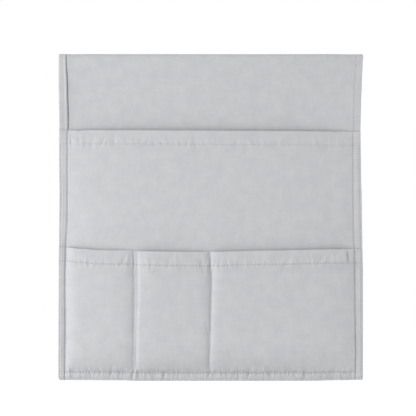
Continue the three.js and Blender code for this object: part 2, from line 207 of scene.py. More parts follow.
class Pattern:
    """The sewing pattern on its arm, in millimetres. u runs across the strip, v along it from
    the middle of the saddle, positive to the front, and out is the distance from the arm."""

    def __init__(self, sizes):
        names = OrganizerSizes.__annotations__
        self.size = size = SimpleNamespace(**{name: getattr(sizes, name) * 1000 for name in names})
        self.half = size.strip_width / 2
        lift = size.hem_thickness + size.layer_gap
        self.band_out = lift + size.canvas_thickness
        self.mid_radius = size.arm_edge_radius + lift + size.canvas_thickness / 2
        self.flat_half = size.arm_width / 2 - size.arm_edge_radius
        self.drop_start = self.flat_half + self.mid_radius * math.pi / 2
        self.top = self.drop_start - size.arm_edge_radius - self.band_out
        self.bottom = self.top + size.front_drop
        self.seam_row = self.bottom - size.bottom_seam
        self.hem_row = self.bottom - size.edge_row
        self.bottom_land = self.seam_row - LAND
        self.tail_end = -(self.top + size.tail_drop)
        self.tail_row = self.tail_end + size.bottom_seam
        self.edge_row = self.half - size.edge_row
        self.left = -self.half + size.left_seam
        self.right = self.half - size.right_seam
        self.first = self.left + size.first_pocket
        self.second = self.first + size.second_pocket
        self.turn_room = size.canvas_thickness + size.layer_gap

    # Where seams and edges run. The stops are depths below the fold's top.

    def guide_lines(self, v):
        """The edges, the side seams and the dividers: (nominal u, real x at v)."""
        depth = v - self.top
        tail = drift(-depth, (88, 150, 240, 360, 450), (0, -0.5, 0.1, -0.7, -0.2))
        lines = (
            (-self.half, 0.3 - tail, (-90, 2, 32, 71, 110, 149, 188, 240, 309, 344),
             (-0.3, -0.2, -0.1, 0.5, 0.2, 0.6, 0.3, -0.1, -0.4, -0.6)),
            (self.left, 0.3 - tail, (-90, 2, 39, 75, 92, 125, 175, 212, 241, 290, 330),
             (0.3, 0.2, 1.8, 2.6, 1.7, 1.5, 1.5, -0.2, -1, -0.8, -1.2)),
            (self.first, 0, (150, 214, 260, 300, 344), (0, -1.4, -0.9, -1.3, -2.2)),
            (self.second, 0, (150, 214, 228, 242, 280, 344), (0, -1.1, -0.4, 0.6, -0.3, -2.2)),
            (self.right, 0.7 * tail - 0.4, (-90, 4, 12, 38, 68, 90, 180, 216, 256, 330),
             (-0.4, 1.2, 1.5, -0.3, -0.9, -1.6, -1.4, -0.2, 0.4, 1)),
            (self.half, 0.7 * tail - 0.4, (-90, -5, 3, 10, 32, 50, 87, 128, 162, 206, 240, 350),
             (-0.4, 0, 0, -0.6, -1.5, -2.3, -3, -2.4, -1.6, -1, -0.4, -0.4)),
        )
        return [(u, u + np.where(v < 0, behind, drift(depth, stops, values)))
                for u, behind, stops, values in lines]

    def across(self, u, v):
        lines = self.guide_lines(v)
        x = u + (lines[0][1] - lines[0][0])
        for (u0, x0), (u1, x1) in zip(lines, lines[1:]):
            x = np.where(u > u0, x0 + (x1 - x0) * (u - u0) / (u1 - u0), x)
        return np.where(u > u1, x1 + u - u1, x)

    def round_corner(self, u, v, side, radius):
        """Takes the square corner at the bottom of one side round on this radius."""
        beyond = (side * u - (self.half - radius)) / radius
        below = (v - (self.bottom - radius)) / radius
        inside = (beyond > 0) & (below > 0)
        spread = np.where(inside, np.hypot(beyond, below), 1)
        share = np.where(inside, np.maximum(beyond, below) / spread, 1)
        u = np.where(inside, side * (self.half - radius + radius * beyond * share), u)
        return u, np.where(inside, self.bottom - radius + radius * below * share, v)

    def lay(self, u, v, out):
        """Where a point of the cloth is, in metres: over the arm, round its edges and down."""
        for side, corner_radius in ((-1, 3.6), (1, 1.2)):
            u, v = self.round_corner(u, v, side, corner_radius)
        x = self.across(u, v)
        beyond = np.abs(v) - self.flat_half
        turn = np.clip(beyond / self.mid_radius, 0, math.pi / 2)
        drop = np.maximum(beyond - turn * self.mid_radius, 0)
        radius = self.size.arm_edge_radius + out
        side = np.where(v > 0, -1.0, 1.0)
        y = np.where(beyond <= 0, -v, side * (self.flat_half + radius * np.sin(turn)))
        z = np.where(beyond <= 0, out, radius * np.cos(turn) - self.size.arm_edge_radius - drop)
        low = np.clip((v - self.top - self.size.lower_mouth) / 140, 0, 1)
        raised_ends = drift(u, (-165, -95, -76, 100, 142, 163), (0.95, 0.6, 0, 0, 0.8, 1.3))
        return np.stack([x, y, z + self.size.bottom_sag * low * raised_ends], -1) * 0.001

    def upper_mouth(self, u):
        share = (u - self.left) / (self.right - self.left)
        gape = 0.8 * bump(u + 144, 4) + 0.5 * bump(u - 135, 3)
        return self.top + self.size.upper_mouth + self.size.upper_mouth_fall * share + gape

    def lower_mouth(self, u):
        """Rises to both ends, and each pocket's edge hangs a little by itself."""
        rise = drift(u, (-157, -140, -120, -100, -84, -80, -35, -2, 2, 60, 150),
                     (4.6, 3.2, 1.8, 1.5, 1.6, 0.7, 0.1, 0, 0.1, 1.3, 2.7))
        return self.top + self.size.lower_mouth - rise

    def row_below(self, mouth):
        """The line of the stitch row below a mouth."""
        return lambda u: mouth(u) + self.size.mouth_row

    # How high each layer lies

    def inward(self, u):
        """How far a place lies inside the nearer side seam."""
        return np.minimum(u - self.left, self.right - u)

    def side_press(self, u):
        """1 along the side seams, with a low ridge at each side where the cloth bunches."""
        beside = np.minimum(np.abs(u - self.left), np.abs(u - self.right))
        return bump(beside, 0.8) - 0.3 * bump(beside - 1.9, 0.8)

    def edge_press(self, u, v):
        """1 along the rows that close the pockets' sides, with a ridge inside the left one."""
        below = ease((v - self.top - self.size.upper_mouth - self.size.mouth_row) / 3)
        left = u + self.edge_row
        left = bump(left + 0.1, 0.6) - 0.45 * bump(left - 1.5, 0.8)
        return below * (left + bump(u - self.edge_row + 0.3, 0.7))

    def bottom_press(self, v):
        return np.maximum(bump(v - self.seam_row, 1.2), bump(v - self.hem_row, 0.9))

    def band_pillow(self, u):
        """The hems fill both bands and lift them most beside the rows that close the sides."""
        left = np.clip((u + self.half) / (self.left + self.half), 0, 1)
        right = np.clip((self.half - u) / (self.half - self.right), 0, 1)
        padded = 1.3 * (1 - np.exp(-left / 0.09)) * (1 - left ** 3)
        return padded + 5.3 * right ** 0.7 * (1 - right) ** 1.4

    def side_ripple(self, u, v):
        """Pucker of the cloth beside the side seams, where the thread drew it in."""
        reach = np.maximum(bump(u - self.left, 5), bump(u - self.right, 5))
        return reach * waves(v, (9.1, 13.7, 22, 37), (0.03, 0.05, 0.07, 0.08), 11)

    def side_rise(self, u, v):
        """Above the pockets the hems curl forwards a little and lift the cloth beside them."""
        depth = v - self.top
        left = drift(depth, (-60, -3, 8, 22, 40, 60, 76, 90, 105),
                     (0, 0.4, 1.3, 1.9, 3.2, 2.4, 1.3, 0.3, 0))
        right = drift(depth, (-60, 0, 30, 60, 84, 105), (0, 0.2, 0.6, 0.9, 0.7, 0))
        curl = drift(depth, (10, 40, 70, 84, 100), (0, 1.2, 2.2, 1, 0))
        left_part = left * np.exp(-np.maximum(u - self.left, 0) / 11)
        right_part = right * np.exp(-np.maximum(self.right - u, 0) / 9)
        return left_part + right_part + curl * np.clip((self.left - u) / 8, 0, 1)

    def above_mouth(self, v):
        """1 between the fold and the upper mouth."""
        depth = v - self.top
        return ease((depth + 4) / 14) * ease((self.size.upper_mouth + 4 - depth) / 6)

    def seam_crease(self, u, v):
        """How deep the left seam is creased above the pockets. It goes no deeper than the cloth
        has risen from the arm there."""
        rise = self.side_rise(self.left + 0 * u, v)
        return np.minimum(1.9 * self.above_mouth(v), rise) * bump(u - self.left, 0.5)

    def hem_level(self, u, v):
        """The outer face of the turned layers that lie between the strip and the arm."""
        ripple = waves(v, (17, 29), (0.0125, 0.0125), 3) + self.side_ripple(u, v)
        level = self.size.hem_thickness + self.side_rise(u, v) + np.minimum(ripple, 0)
        level -= 0.12 * self.side_press(u) + self.seam_crease(u, v)
        return np.maximum(level, self.size.hem_thickness)

    def strip_level(self, u, v):
        """The strip's outer face, a layer gap outside its hems."""
        level = self.band_out + self.side_rise(u, v)
        level += 0.12 * self.band_pillow(u) - 0.25 * self.side_press(u)
        level -= 0.25 * np.maximum(bump(v - self.tail_row, 1.2), self.bottom_press(v))
        level += self.side_ripple(u, v) - self.seam_crease(u, v)
        over = ease((self.drop_start + 8 - np.abs(v)) / 16)
        middle = ease(self.inward(u) / 25)
        level += middle * ((1 - 0.6 * over) * swell(u, v, 0.06, 5) + 0.45 * over)
        # The band stands up a little beside the left seam's crease
        level += 0.8 * self.above_mouth(v) * bump(u - self.left + 1.5, 0.8)
        return np.maximum(level, self.hem_level(u, v) + self.size.canvas_thickness + LEAST_ROOM)

    def fullness(self, u, v, start, end, left_square, right_square):
        """0 at a pocket's seams and 1 where it stands open, closing towards the bottom. The
        higher the number for a side, the sooner the cloth turns out there."""
        middle, reach = (start + end) / 2, (end - start) / 2 - LAND
        share = np.clip((u - middle) / reach, -1, 1)
        height = np.clip((self.bottom_land - v) / self.size.bottom_curve, 0, 1)
        square = np.where(share < 0, left_square, right_square)
        return (1 - np.abs(share) ** square) * (1 - (1 - height) ** 2)

    def wide_fullness(self, u, v):
        return self.fullness(u, v, self.left, self.right, 5, 3.5)

    def backed(self, v):
        """The wide pocket's cloth hangs fuller further down, behind the small pockets."""
        return self.size.backed_fullness * ease((v - self.top - 95) / 112)

    def turn_lift(self, past_mouth):
        """How far the turned layer behind a mouth lifts the pocket's cloth."""
        past_turn = past_mouth - self.size.mouth_row - HEM_PAST_ROW
        return self.turn_room * np.clip(1 - past_turn / 8, 0, 1)

    def puckers(self, u, off_row, seed, spacing, height, above, below):
        """Short uneven ridges and dips across a stitch row, where its thread drew the cloth in."""
        random = np.random.RandomState(seed)
        total = np.zeros(u.shape)
        place = self.left + 2
        while place < self.right - 2:
            place += spacing * random.uniform(0.45, 1.6)
            lean, width = random.normal(0, 0.3), spacing * random.uniform(0.18, 0.4)
            rise = height * random.choice((-1, 1)) * random.uniform(0.25, 1.3)
            up, down = above * random.uniform(0.4, 1.2), below * random.uniform(0.4, 1.2)
            near = np.abs(u - place) < 14
            off = off_row[near]
            fade = np.where(off < 0, bump(off, up), bump(off, down)) * (1 - 0.6 * bump(off, 0.8))
            total[near] += rise * fade * bump(u[near] - place - lean * off, width)
        return total

    def creases(self, u, v, marks):
        """The single folds of a table, each fading out at both ends."""
        total = 0
        for (u0, d0), (u1, d1), width, height in marks:
            size = math.hypot(u1 - u0, d1 - d0)
            du, dv = u - u0, v - self.top - d0
            share = (du * (u1 - u0) + dv * (d1 - d0)) / size ** 2
            off = (du * (d1 - d0) - dv * (u1 - u0)) / size
            fade = ease((share + 0.25) / 0.5) * ease((1.25 - share) / 0.5)
            total = total + height * fade * bump(off, width)
        return total

    def upper_level(self, u, v):
        """The upper pocket's outer face."""
        size = self.size
        past = v - self.upper_mouth(u)
        lift = self.turn_lift(past)
        level = self.band_out + size.layer_gap + size.canvas_thickness + self.side_rise(u, v) + lift
        level += (size.upper_fullness + self.backed(v)) * self.wide_fullness(u, v)
        level -= 0.45 * (self.side_press(u) + self.edge_press(u, v) + self.bottom_press(v))
        level += 0.4 * self.band_pillow(u) + self.side_ripple(u, v)
        clear = ease(self.inward(u) / 4)
        level += clear * self.puckers(u, past - size.mouth_row, 21, 4.5, 0.55, 9, 4.5)
        pucker = self.puckers(u, v - self.seam_row, 41, 3.9, 1.1, 6, 9)
        level += clear * (pucker + 0.45 * bump(v - self.seam_row, 7))
        low = self.bottom - v
        level += clear * 0.8 * ease(low / 9) * ease((60 - low) / 50)
        flat = ease(self.inward(u) / 22) * ease((self.bottom_land - v) / 22)
        level += flat * swell(u, v, 0.085, 8) + self.creases(u, v, UPPER_CREASES)
        room = lift + size.canvas_thickness + LEAST_ROOM
        return np.maximum(level, self.strip_level(u, v) + room)

    def lower_level(self, u, v):
        """The lower pocket's outer face, over the upper pocket's own."""
        size = self.size
        ground = self.upper_level(u, v)
        past = v - self.lower_mouth(u)
        lift = self.turn_lift(past)
        level = ground + size.layer_gap + size.canvas_thickness + lift
        top = ease(1 - past / 70)
        backed = self.backed(v) * self.wide_fullness(u, v)
        for start, end, gain, left_square, right_square in (
            (self.left, self.first, 0, 7, 5),
            (self.first + 3.2, self.second, 0.1 + 0.4 * top, 3.2, 8),
            (self.second, self.right, 0.1 + 0.3 * top, 22, 5),
        ):
            full = self.fullness(u, v, start, end, left_square, right_square)
            lean = 1 - ease((u - start) / (end - start))
            level += (size.lower_fullness * (1 + gain * lean) - backed) * full
        level -= 0.15 * self.side_press(u) + 0.05 * self.edge_press(u, v)
        off_first, off_second = np.abs(u - self.first), np.abs(u - self.second)
        dividers = np.maximum(bump(off_first, 0.9), bump(off_second, 0.9))
        level -= 0.3 * np.maximum(self.bottom_press(v), dividers)
        # The middle pocket's cloth starts with a pleat beside the first divider
        pleat_start = drift(v - self.top, (215, 262, 300, 340), (3.6, 3.6, 2.6, 3.0))
        pleat = ease((u - self.first - pleat_start) / 3) * ease((self.bottom_land - v) / 5)
        level += 2.1 * pleat * np.clip((self.second - u) / size.second_pocket, 0, 1)
        level += 0.3 * self.band_pillow(u)
        clear = ease(np.minimum(np.minimum(off_first, off_second), self.inward(u)) / 4)
        level += clear * self.puckers(u, past - size.mouth_row, 31, 4.6, 0.8, 10, 5)
        fade = clear * ease((self.bottom_land - v) / 20)
        level += fade * swell(u, v, 0.07, 9) + self.creases(u, v, LOWER_CREASES)
        return np.maximum(level, ground + lift + size.canvas_thickness + LEAST_ROOM)

    def outermost(self, u, v):
        """The level of the cloth that shows at a place on the front or the back."""
        level = np.where(v >= self.upper_mouth(u), self.upper_level(u, v), self.strip_level(u, v))
        return np.where(v >= self.lower_mouth(u), self.lower_level(u, v), level)


def columns(half, coarse, fine, lines, reach):
    """Places across the strip, closer together beside each line."""
    places = [-half]
    while places[-1] < half:
        near = min(abs(places[-1] - line) for line in lines)
        places.append(places[-1] + fine + (coarse - fine) * min(max(near - 1, 0) / reach, 1))
    return (np.array(places) + half) * 2 * half / (places[-1] + half) - half


def graded(stops, last):
    """Places from the first stop to last. Each stop gives the step that follows it."""
    ends = [at for at, step in stops[1:]] + [last]
    parts = [np.linspace(at, end, max(int(round(abs(end - at) / step)), 1), endpoint=False)
             for (at, step), end in zip(stops, ends)]
    return np.concatenate(parts + [[last]])


def over_arm(pattern, step, stops, last):
    """Places from the saddle's middle over a fold and down to last, by step and then stops."""
    bend = (pattern.drop_start - pattern.flat_half) / 10
    return graded(((0, 4), (pattern.flat_half, bend), (pattern.drop_start, step), *stops), last)


def cloth(pattern, name, u, v, level, thick, body, nodes, rows, cut=(), rolled=(), radius=None):
    """A closed sheet of cloth over the grid of u and v, whose outer face lies at level(u, v).

    u is a row of places across, v a column of places along or a whole grid of them. The edges
    named in rolled are turned in on the outer radius; the others are rounded over, and those
    named in cut are left flat because the next piece goes on from them. rows are the stitches
    that show on it, and nodes the solids that it replaces."""
    radius = radius or thick
    u, v = np.broadcast_arrays(u, v)
    turned = [[len(TURN_STEPS) * (edge in rolled) for edge in pair]
              for pair in (("top", "bottom"), ("left", "right"))]
    turn_v, turn_u = (
        np.concatenate([-TURN_STEPS[::-1][:before], np.zeros(count), TURN_STEPS[:after]])
        for (before, after), count in zip(turned, v.shape)
    )
    turn_v = turn_v[:, None]
    u, v = np.pad(u, turned, "edge"), np.pad(v, turned, "edge")
    face = level(u, v)
    bend = np.minimum(np.cos(turn_u), np.cos(turn_v))
    skins = [(u + skin * np.sin(turn_u), v + skin * np.sin(turn_v), face - radius + skin * bend)
             for skin in (radius, radius - thick)]
    height, width = v.shape
    index = np.arange(height * width).reshape(height, width)
    ring = np.concatenate([index[0, :-1], index[:-1, -1], index[-1, :0:-1], index[:0:-1, 0]])
    rounded = {"left", "right", "top", "bottom"}.difference(rolled, cut)
    side_u, side_v = np.zeros(v.shape), np.zeros(v.shape)
    side_u[:, 0], side_u[:, -1] = -("left" in rounded), "right" in rounded
    side_v[0], side_v[-1] = -("top" in rounded), "bottom" in rounded
    outer, inner = (np.stack([part.ravel()[ring] for part in skin]) for skin in skins)
    side = np.stack([side_u.ravel()[ring], side_v.ravel()[ring], np.zeros(len(ring))])
    rims = [outer + (inner - outer) * share + side * thick / 2 * math.sin(math.radians(angle))
            for share, angle in ((0.25, 60), (0.75, 120))]
    us, vs, outs = (np.concatenate([part[k].ravel() for part in (skins[0], *rims, skins[1])])
                    for k in range(3))
    quads = np.stack([index[:-1, :-1], index[1:, :-1], index[1:, 1:], index[:-1, 1:]], -1)
    quads = quads.reshape(-1, 4)
    first_rim, around = height * width, np.arange(len(ring))
    second_rim = first_rim + len(ring)
    inner_skin = second_rim + len(ring)
    faces = [quads, quads[:, ::-1] + inner_skin]
    loops = [ring, around + first_rim, around + second_rim, ring + inner_skin]
    for near, far in zip(loops, loops[1:]):
        faces.append(np.stack([near, np.roll(near, -1), np.roll(far, -1), far], -1))
    marks = sewing_marks(us, vs, rows)
    obj = make_mesh(name, pattern.lay(us, vs, outs), np.vstack(faces), us, vs, marks)
    finish_piece(obj, "canvas", body, nodes)


def place_of(line, u):
    """Where a line across the strip runs at u. The line is a place along or a function of u."""
    return line(u) if callable(line) else line + 0 * u


def sewing_marks(us, vs, rows):
    """How near each point is to a stitch row: pull for the relief, and needle line for where the
    needle holes' painted shade goes, across and along.
    """
    marks = np.zeros((len(us), 4), np.float32)
    for direction, line, start, end, strength in rows:
        if direction == "across":
            off, at, slot = vs - place_of(line, us), us, 0
        else:
            off, at, slot = us - line, vs, 1
        inside = (at >= start - 1) & (at <= end + 1)
        pull, near = strength * bump(off, 3.2), min(strength, 1) * bump(off, 0.75)
        marks[:, slot] = np.maximum(marks[:, slot], inside * pull)
        marks[:, slot + 2] = np.maximum(marks[:, slot + 2], inside * near)
    return marks


def add_smooth(name, mesh, smooth, **settings):
    """Puts the mesh in the scene as an object and smooths its shading."""
    obj = bpy.data.objects.new(name, mesh)
    bpy.context.scene.collection.objects.link(obj)
    bpy.ops.object.select_all(action="DESELECT")
    obj.select_set(True)
    bpy.context.view_layer.objects.active = obj
    smooth(**settings)
    obj.select_set(False)
    return obj


def make_mesh(name, verts, faces, us, vs, marks):
    mesh = bpy.data.meshes.new(name)
    mesh.vertices.add(len(verts))
    mesh.vertices.foreach_set("co", verts.astype(np.float32).ravel())
    mesh.loops.add(faces.size)
    mesh.loops.foreach_set("vertex_index", faces.ravel().astype(np.int32))
    mesh.polygons.add(len(faces))
    mesh.polygons.foreach_set("loop_start", np.arange(0, faces.size, 4, dtype=np.int32))
    uv = mesh.uv_layers.new(name="Cloth")
    spots = np.stack([us, vs], -1)[faces.ravel()] * 0.001
    uv.data.foreach_set("uv", spots.astype(np.float32).ravel())
    sewing = mesh.attributes.new("sewing", "FLOAT_COLOR", "POINT")
    sewing.data.foreach_set("color", marks.ravel())
    mesh.update(calc_edges=True)
    mesh.validate()
    return add_smooth(name, mesh, bpy.ops.object.shade_smooth_by_angle, angle=math.radians(65))


def add_node(tree, kind, inputs=None, **settings):
    """Adds a shader node and gives its outputs; an input is a value or the socket that feeds it."""
    node = tree.nodes.new("ShaderNode" + kind)
    for key, value in settings.items():
        setattr(node, key, value)
    for key, value in (inputs or {}).items():
        if isinstance(value, bpy.types.NodeSocket):
            tree.links.new(value, node.inputs[key])
        else:
            node.inputs[key].default_value = value
    return node.outputs


def calculate(tree, operation, *values, kind="Math"):
    """The result of a Math node, or of a node of another kind that works the same way."""
    return add_node(tree, kind, dict(enumerate(values)), operation=operation)[0]


def scaled(tree, vector, *factors):
    """The vector with its three axes multiplied by the factors."""
    return calculate(tree, "MULTIPLY", vector, factors, kind="VectorMath")


def remap(tree, value, *limits):
    """Takes a value from one range to another; the limits are those of both ranges."""
    inputs = dict(zip(("From Min", "From Max", "To Min", "To Max"), limits))
    return add_node(tree, "MapRange", {"Value": value, **inputs})[0]


def noise(tree, vector, scale, detail=2.0, roughness=0.5, dimensions="3D"):
    return add_node(tree, "TexNoise", {
        "Vector": vector, "Scale": scale, "Detail": detail, "Roughness": roughness,
    }, noise_dimensions=dimensions)[0]


def mixed_colour(tree, share, first, second):
    inputs = {0: share, 6: first, 7: second}
    return add_node(tree, "Mix", inputs, data_type="RGBA")[2]


def raised(tree, height, strength, distance):
    """The surface's direction with the height as relief."""
    return add_node(tree, "Bump", {
        "Strength": strength, "Distance": distance, "Height": height,
    })[0]


def new_tree(owner):
    """An emptied node tree for a material or a world."""
    owner.use_nodes = True
    owner.node_tree.nodes.clear()
    return owner.node_tree


def canvas_shader(tree):
    """Plain-woven cotton canvas, piece-dyed light grey and pressed. The eye gets a matte face
    with a faint bloom of fibre, slubs both ways and a dye that took a little unevenly."""
    finish = bpy.context.scene.organizer_finish
    sizes = bpy.context.scene.organizer_sizes
    cloth_map = add_node(tree, "UVMap", uv_map="Cloth")["UV"]
    # Yarns: 0.7 mm apart both ways, over and under each other like a chequer
    yarns = scaled(tree, cloth_map, *(math.pi / sizes.yarn_pitch,) * 3)
    split = add_node(tree, "SeparateXYZ", {0: yarns})
    warp, weft = (calculate(tree, "COSINE", split[axis]) for axis in "XY")
    crown = calculate(tree, "ABSOLUTE", calculate(tree, "MULTIPLY", warp, weft))
    # Slubs: thick places, one or two yarns wide and 10 to 25 mm long
    slub = calculate(tree, "ADD", *(
        noise(tree, scaled(tree, cloth_map, *stretch), 1.0, dimensions="2D")
        for stretch in ((1 / 0.0015, 1 / 0.016, 1), (1 / 0.018, 1 / 0.0015, 1))
    ))
    # The dye's mottle: clouds of 6 to 20 mm
    mottle = noise(tree, cloth_map, 1 / 0.013, 3.0, 0.6, "2D")
    tone = remap(tree, calculate(tree, "MULTIPLY_ADD", slub, 0.35, mottle), 0.6, 1.1, 0.0, 1.0)
    # Sewing: each stitch pulls the cloth down, and each needle hole is painted as a small dark dot,
    # painted shade for the shadow inside the hole
    sewing = add_node(tree, "Attribute", attribute_name="sewing")
    pulls = add_node(tree, "SeparateColor", {0: sewing["Color"]})
    stitch_turn = 2 * math.pi / sizes.stitch_length
    beats = scaled(tree, cloth_map, *(stitch_turn,) * 3)
    beats = add_node(tree, "SeparateXYZ", {0: beats})
    beat_u, beat_v = (calculate(tree, "COSINE", beats[axis]) for axis in "XY")
    # The dimples lean beside the bottom rows; away from them the lean is two whole stitches
    row = current_pattern().seam_row * 0.001 * stitch_turn
    off_row = calculate(tree, "SUBTRACT", beats["Y"], row)
    lean = remap(tree, off_row, -28.0, 28.0, 4 * math.pi, -4 * math.pi)
    dimple = calculate(tree, "COSINE", calculate(tree, "ADD", beats["X"], lean))
    pull = calculate(tree, "ADD", calculate(tree, "MULTIPLY", dimple, pulls["Red"]),
                     calculate(tree, "MULTIPLY", beat_v, pulls["Green"]))
    # Painted shade: where the needle holes are painted dark
    hole = calculate(tree, "MAXIMUM", *(
        calculate(tree, "MULTIPLY", remap(tree, beat, 0.55, 1.0, 0.0, 1.0), near)
        for beat, near in ((beat_u, pulls["Blue"]), (beat_v, sewing["Alpha"]))
    ))
    dyed = mixed_colour(tree, tone, (*finish.canvas_shade, 1), (*finish.canvas, 1))
    # Painted shade: how far the base colour goes towards the dark grey #6f7173 at the needle holes
    hole_shade_paint = calculate(tree, "MULTIPLY", hole, 0.8)
    # Heights in millimetres: yarn crowns, slubs, and the dip at each stitch
    relief = calculate(tree, "MULTIPLY", crown, 0.05)
    relief = calculate(tree, "MULTIPLY_ADD", slub, 0.05, relief)
    relief = calculate(tree, "MULTIPLY_ADD", pull, -0.06, relief)
    return add_node(tree, "BsdfPrincipled", {
        "Base Color": mixed_colour(tree, hole_shade_paint, dyed, (*linear("#6f7173"), 1)),
        "Roughness": 0.95, "IOR": 1.45, "Specular IOR Level": 0.2, "Sheen Weight": 0.08,
        "Sheen Roughness": 0.5, "Normal": raised(tree, relief, 0.8, 0.001),
    })[0]


def thread_shader(tree):
    """Spun polyester sewing thread in the cloth's own grey. The eye gets a slightly smoother face
    than the canvas's, a tone that varies from stitch to stitch and a slight rise and fall."""
    colour_now = (*bpy.context.scene.organizer_finish.thread, 1)
    place = add_node(tree, "TexCoord")["Object"]
    # Tension: the thread lies fuller and flatter in slanting bands, 6.3 mm apart along a row
    tension = add_node(tree, "TexWave", {
        "Vector": place, "Scale": 100.0, "Distortion": 1.0, "Detail": 1.0,
    }, wave_type="BANDS", bands_direction="DIAGONAL")["Fac"]
    # Fuzz: loose fibre that changes the tone every 2 mm or so
    fuzz = noise(tree, place, 1 / 0.002)
    return add_node(tree, "BsdfPrincipled", {
        "Base Color": mixed_colour(tree, fuzz, (*linear("#b9bbbd"), 1), colour_now),
        "Roughness": 0.7, "IOR": 1.5, "Specular IOR Level": 0.35, "Sheen Weight": 0.05,
        "Normal": raised(tree, tension, 0.5, 0.00008),
    })[0]


MATERIALS = {
    "canvas": ("Piece-dyed cotton canvas", canvas_shader),
    "thread": ("Spun polyester thread", thread_shader),
}


def material_for(slot):
    """The slot's material, which is made when it is first asked for."""
    name, shader = MATERIALS[slot]
    if name not in bpy.data.materials:
        tree = new_tree(bpy.data.materials.new(name))
        add_node(tree, "OutputMaterial", {"Surface": shader(tree)})
    return bpy.data.materials[name]


def finish_piece(obj, slot, body, nodes):
    """Gives a piece its material and hides the solids that it replaces. A piece that replaces one
    solid goes on that body; one that replaces a part of the saddle too keeps its place, with its
    transform baked into the mesh, and goes on no body."""
    obj.data.materials.append(material_for(slot))
    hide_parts(*nodes)
    if len(nodes) == 1:
        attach(obj, body)
        return
    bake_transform(obj)


def current_pattern():
    return Pattern(bpy.context.scene.organizer_sizes)


def strip_rows(pattern):
    """Stitch rows that show on the strip, each with how hard its thread pulls."""
    return (
        ("along", pattern.left, pattern.tail_end, pattern.bottom, 0.5),
        ("along", pattern.right, pattern.tail_end, pattern.bottom, 0.5),
        ("across", pattern.tail_row, pattern.left, pattern.right, 1.5),
    )


class ORGANIZER_OT_strip(bpy.types.Operator):
    """Make the strip that lies over the arm: the front with half the saddle, and the tail"""

    bl_idname = "organizer.strip"
    bl_label = "Strip"

    def execute(self, context):
        pattern = current_pattern()
        edge, bottom, end = pattern.half - ROLL, pattern.bottom, -pattern.tail_end
        u = columns(pattern.half, 2.6, 0.3, (pattern.left, pattern.right), 16)
        u = np.concatenate([[-edge], u[np.abs(u) < edge - 0.1], [edge]])
        # Behind the pockets the grid can be coarser
        hidden = pattern.top + pattern.size.upper_mouth + 8
        front = over_arm(pattern, 2.2, ((hidden, 7), (bottom - 14, 1.5)), bottom - ROLL)
        tail = -over_arm(pattern, 2.8, ((end - 14, 1.5),), end - ROLL)[::-1]
        for name, v, turned, meeting, node, body in (
            ("strip_front", front, "bottom", "top", "front_panel", "front_drop"),
            ("strip_tail", tail, "top", "bottom", "tail_panel", "tail"),
        ):
            cloth(pattern, name, u, v[:, None], pattern.strip_level, pattern.size.canvas_thickness,
                  body, (node, "saddle_panel"), strip_rows(pattern), (meeting,),
                  ("left", "right", turned), ROLL)
        return {"FINISHED"}


class ORGANIZER_OT_hems(bpy.types.Operator):
    """Make the turned layers behind the strip's sides and ends"""

    bl_idname = "organizer.hems"
    bl_label = "Hems"

    def execute(self, context):
        pattern = current_pattern()
        edge, bottom, end = pattern.half - ROLL, pattern.bottom - ROLL, pattern.tail_end + ROLL
        left, right = pattern.left + HEM_PAST_ROW, pattern.right - HEM_PAST_ROW
        deep = pattern.size.bottom_seam + HEM_PAST_ROW
        front = over_arm(pattern, 3, (), bottom)
        tail = -over_arm(pattern, 3, (), -end)[::-1]
        left_row, right_row, tail_row = strip_rows(pattern)
        pieces = [
            (f"{side}_hem_{where}", u, v, body, (f"{where}_{side}_hem", f"saddle_{side}_hem"),
             (left_row, right_row), (side, "top", "bottom"))
            for side, u in (("left", np.linspace(-edge, left, 16)),
                            ("right", np.linspace(right, edge, 18)))
            for where, v, body in (("front", front, "front_drop"), ("tail", tail, "tail"))
        ]
        u = np.linspace(left + 0.3, right - 0.3, 220)
        pieces += [
            ("bottom_hem", u, np.linspace(pattern.bottom - deep, bottom, 14), "front_drop",
             ("front_bottom_hem",), (), ("bottom",)),
            ("tail_hem", u, np.linspace(end, pattern.tail_end + deep, 14), "tail",
             ("tail_end_hem",), (tail_row,), ("top",)),
        ]
        for name, u, v, *others in pieces:
            cloth(pattern, name, u, v[:, None], pattern.hem_level, pattern.size.hem_thickness,
                  *others)
        return {"FINISHED"}


def pocket_rows(pattern, mouth, lower):
    """Stitch rows that show on a pocket's cloth, each with how hard its thread pulls."""
    size, edge, bottom = pattern.size, pattern.edge_row, pattern.bottom
    start = pattern.top + size.upper_mouth
    closed = start + size.mouth_row + 2
    rows = [
        ("across", pattern.row_below(mouth), -edge, edge, 1.6 if lower else 0.45),
        ("along", pattern.left, start, bottom, 0.5),
        ("along", pattern.right, start, bottom, 0.5),
        ("along", -edge, closed, bottom, 0.5),
        ("along", edge, closed, bottom, 0.5),
    ]
    if lower:
        start = pattern.top + size.lower_mouth - 1
        rows += [
            ("across", pattern.seam_row, pattern.left, pattern.right, 3.2),
            ("across", pattern.hem_row, -edge, edge, 2.4),
            ("along", pattern.first, start, pattern.seam_row, 0.25),
            ("along", pattern.second, start, pattern.seam_row, 0.25),
        ]
    return rows


